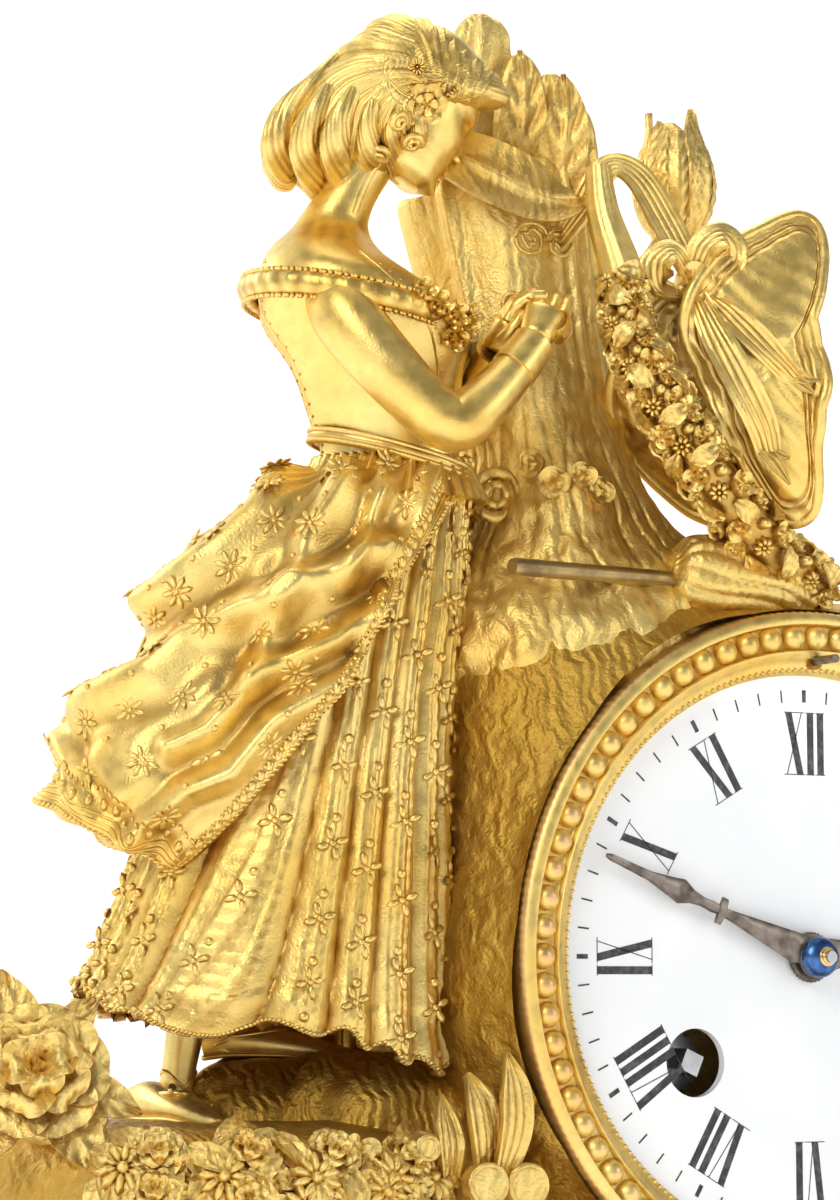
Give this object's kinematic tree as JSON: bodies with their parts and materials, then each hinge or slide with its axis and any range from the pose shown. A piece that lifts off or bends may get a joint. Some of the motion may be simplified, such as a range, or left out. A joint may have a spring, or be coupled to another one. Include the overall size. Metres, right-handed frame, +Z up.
{
  "type": "figural mantel clock",
  "caption": "Gilt bronze mantel clock: a standing woman beside a tree stump and a round white dial in a rocky garden ground, on a moulded plinth.",
  "frame": {"origin": "on the table, under the middle of the base's bounding box", "axes": "+X to the right as the dial is read, +Y to the back along the dial's axis, +Z up"},
  "size_m": [0.28, 0.124, 0.2612],
  "materials": {
    "gilt_matt": "matt fire gilding with dark recesses",
    "gilt_burnished": "burnished fire gilding with matt passages",
    "gilt_bezel": "gilding worn to a reddish copper tone on the rim and beads",
    "rod_brass": "dull old brass",
    "enamel": "white vitreous enamel with painted black numerals",
    "movement_brass": "lightly brushed brass",
    "movement_steel": "polished and brushed steel",
    "hand_steel": "dark steel worn to grey",
    "blued_steel": "blued steel",
    "bell_bronze": "bell metal",
    "pendulum_brass": "turned brass"
  },
  "bodies": {
    "root": {"scroll_feet": "gilt_matt", "base_plinth": "gilt_matt", "terrain_mound": "gilt_matt", "rock_shroud": "gilt_matt", "drum_case": "movement_brass", "dial_ring": "movement_brass", "strap_screws": "movement_steel", "rear_ring": "movement_brass", "door_hinge_pin": "movement_steel", "bezel": "gilt_bezel", "dial": "enamel", "front_plate": "movement_brass", "back_plate": "movement_brass", "plate_pillars": "movement_brass", "back_cock": "movement_brass", "bell": "bell_bronze", "bell_stand": "movement_steel", "tree_trunk": "gilt_matt", "trunk_leaves": "gilt_matt", "flower_bud": "gilt_matt", "garland": "gilt_matt", "ribbon_bow": "gilt_burnished", "straw_hat": "gilt_burnished", "fluted_bundle": "gilt_matt", "brass_rod": "rod_brass", "rose_cluster": "gilt_matt", "ground_flowers": "gilt_matt", "skirt": "gilt_burnished", "overskirt": "gilt_burnished", "torso": "gilt_burnished", "right_arm": "gilt_burnished", "left_arm": "gilt_burnished", "head": "gilt_burnished", "shoes": "gilt_burnished"},
    "minute": {"minute_hand": "hand_steel", "cannon_pinion": "movement_steel", "hand_collet": "blued_steel"},
    "hour": {"hour_hand": "hand_steel", "hour_wheel": "movement_brass"},
    "motion": {"minute_wheel": "movement_brass"},
    "centre": {"centre_arbor": "movement_steel"},
    "going_mid": {"going_intermediate": "movement_steel"},
    "third": {"third_arbor": "movement_steel"},
    "escape": {"escape_arbor": "movement_steel"},
    "anchor": {"pallet_arbor": "movement_steel"},
    "pendulum": {"pendulum": "pendulum_brass"},
    "going_drum": {"going_barrel": "movement_brass"},
    "going_winder": {"going_winding_arbor": "movement_steel"},
    "going_catch": {"going_click": "movement_steel"},
    "strike_drum": {"strike_barrel": "movement_brass"},
    "strike_winder": {"strike_winding_arbor": "movement_steel"},
    "strike_catch": {"strike_click": "movement_steel"},
    "strike_mid": {"strike_intermediate": "movement_steel", "count_wheel": "movement_brass"},
    "pin_wheel": {"pin_wheel_arbor": "movement_steel"},
    "warning": {"warning_arbor": "movement_steel"},
    "fly": {"fly": "movement_steel"},
    "hammer": {"hammer": "movement_steel"},
    "regulator": {"regulator_arbor": "movement_steel"},
    "rear_door": {"rear_door": "movement_brass"}
  },
  "joints": [
    {"name": "minute_spin", "type": "hinge", "parent": "root", "child": "minute", "pos_m": [0, 0, 0.112], "axis": [0, -1, 0], "continuous": true},
    {"name": "hour_spin", "type": "hinge", "parent": "root", "child": "hour", "pos_m": [0, 0, 0.112], "axis": [0, -1, 0], "continuous": true},
    {"name": "motion_spin", "type": "hinge", "parent": "root", "child": "motion", "pos_m": [-0.0059, 0, 0.10787], "axis": [0, -1, 0], "continuous": true},
    {"name": "escape_spin", "type": "hinge", "parent": "root", "child": "escape", "pos_m": [0, 0, 0.13021], "axis": [0, -1, 0], "continuous": true},
    {"name": "third_spin", "type": "hinge", "parent": "root", "child": "third", "pos_m": [0.00444, 0, 0.12198], "axis": [0, -1, 0], "continuous": true},
    {"name": "centre_spin", "type": "hinge", "parent": "root", "child": "centre", "pos_m": [0, 0, 0.112], "axis": [0, -1, 0], "continuous": true},
    {"name": "going_mid_spin", "type": "hinge", "parent": "root", "child": "going_mid", "pos_m": [0.012, 0, 0.1117], "axis": [0, -1, 0], "continuous": true},
    {"name": "going_drum_spin", "type": "hinge", "parent": "root", "child": "going_drum", "pos_m": [0.0203, 0, 0.0963], "axis": [0, -1, 0], "continuous": true},
    {"name": "going_winding", "type": "hinge", "parent": "root", "child": "going_winder", "pos_m": [0.0203, 0, 0.0963], "axis": [0, -1, 0], "continuous": true},
    {"name": "going_click_lift", "type": "hinge", "parent": "root", "child": "going_catch", "pos_m": [0.02894, 0, 0.09945], "axis": [0, -1, 0], "range_deg": [0, 14]},
    {"name": "warning_spin", "type": "hinge", "parent": "root", "child": "warning", "pos_m": [-0.01542, 0, 0.13478], "axis": [0, -1, 0], "continuous": true},
    {"name": "fly_spin", "type": "hinge", "parent": "root", "child": "fly", "pos_m": [-0.02244, 0, 0.13883], "axis": [0, -1, 0], "continuous": true},
    {"name": "pin_wheel_spin", "type": "hinge", "parent": "root", "child": "pin_wheel", "pos_m": [-0.01734, 0, 0.12393], "axis": [0, -1, 0], "continuous": true},
    {"name": "strike_mid_spin", "type": "hinge", "parent": "root", "child": "strike_mid", "pos_m": [-0.02334, 0, 0.11353], "axis": [0, -1, 0], "continuous": true},
    {"name": "strike_drum_spin", "type": "hinge", "parent": "root", "child": "strike_drum", "pos_m": [-0.0203, 0, 0.0963], "axis": [0, -1, 0], "continuous": true},
    {"name": "strike_winding", "type": "hinge", "parent": "root", "child": "strike_winder", "pos_m": [-0.0203, 0, 0.0963], "axis": [0, -1, 0], "continuous": true},
    {"name": "strike_click_lift", "type": "hinge", "parent": "root", "child": "strike_catch", "pos_m": [-0.02894, 0, 0.09945], "axis": [0, -1, 0], "range_deg": [-14, 0]},
    {"name": "pendulum_swing", "type": "hinge", "parent": "root", "child": "pendulum", "pos_m": [0, 0, 0.14102], "axis": [0, -1, 0], "range_deg": [-5, 5]},
    {"name": "anchor_swing", "type": "hinge", "parent": "root", "child": "anchor", "pos_m": [0, 0, 0.14102], "axis": [0, -1, 0], "range_deg": [-5, 5]},
    {"name": "hammer_lift", "type": "hinge", "parent": "root", "child": "hammer", "pos_m": [-0.031, 0, 0.131], "axis": [0, -1, 0], "range_deg": [0, 16]},
    {"name": "regulator_turn", "type": "hinge", "parent": "root", "child": "regulator", "pos_m": [0, 0, 0.157], "axis": [0, -1, 0], "continuous": true},
    {"name": "rear_door_swing", "type": "hinge", "parent": "root", "child": "rear_door", "pos_m": [0.051, 0.038, 0.112], "axis": [0, 0, -1], "range_deg": [0, 110]}
  ],
  "couplings": [
    {"joint": "hour_spin", "follows": "minute_spin", "ratio": 0.083333},
    {"joint": "motion_spin", "follows": "minute_spin", "ratio": -0.33333},
    {"joint": "third_spin", "follows": "escape_spin", "ratio": -0.083333},
    {"joint": "centre_spin", "follows": "escape_spin", "ratio": 0.0069444},
    {"joint": "going_mid_spin", "follows": "escape_spin", "ratio": -0.0013889},
    {"joint": "going_drum_spin", "follows": "escape_spin", "ratio": 0.00023148},
    {"joint": "fly_spin", "follows": "warning_spin", "ratio": -8},
    {"joint": "pin_wheel_spin", "follows": "warning_spin", "ratio": -0.125},
    {"joint": "strike_mid_spin", "follows": "warning_spin", "ratio": 0.019231},
    {"joint": "strike_drum_spin", "follows": "warning_spin", "ratio": -0.0032051},
    {"joint": "anchor_swing", "follows": "pendulum_swing", "ratio": 1}
  ]
}
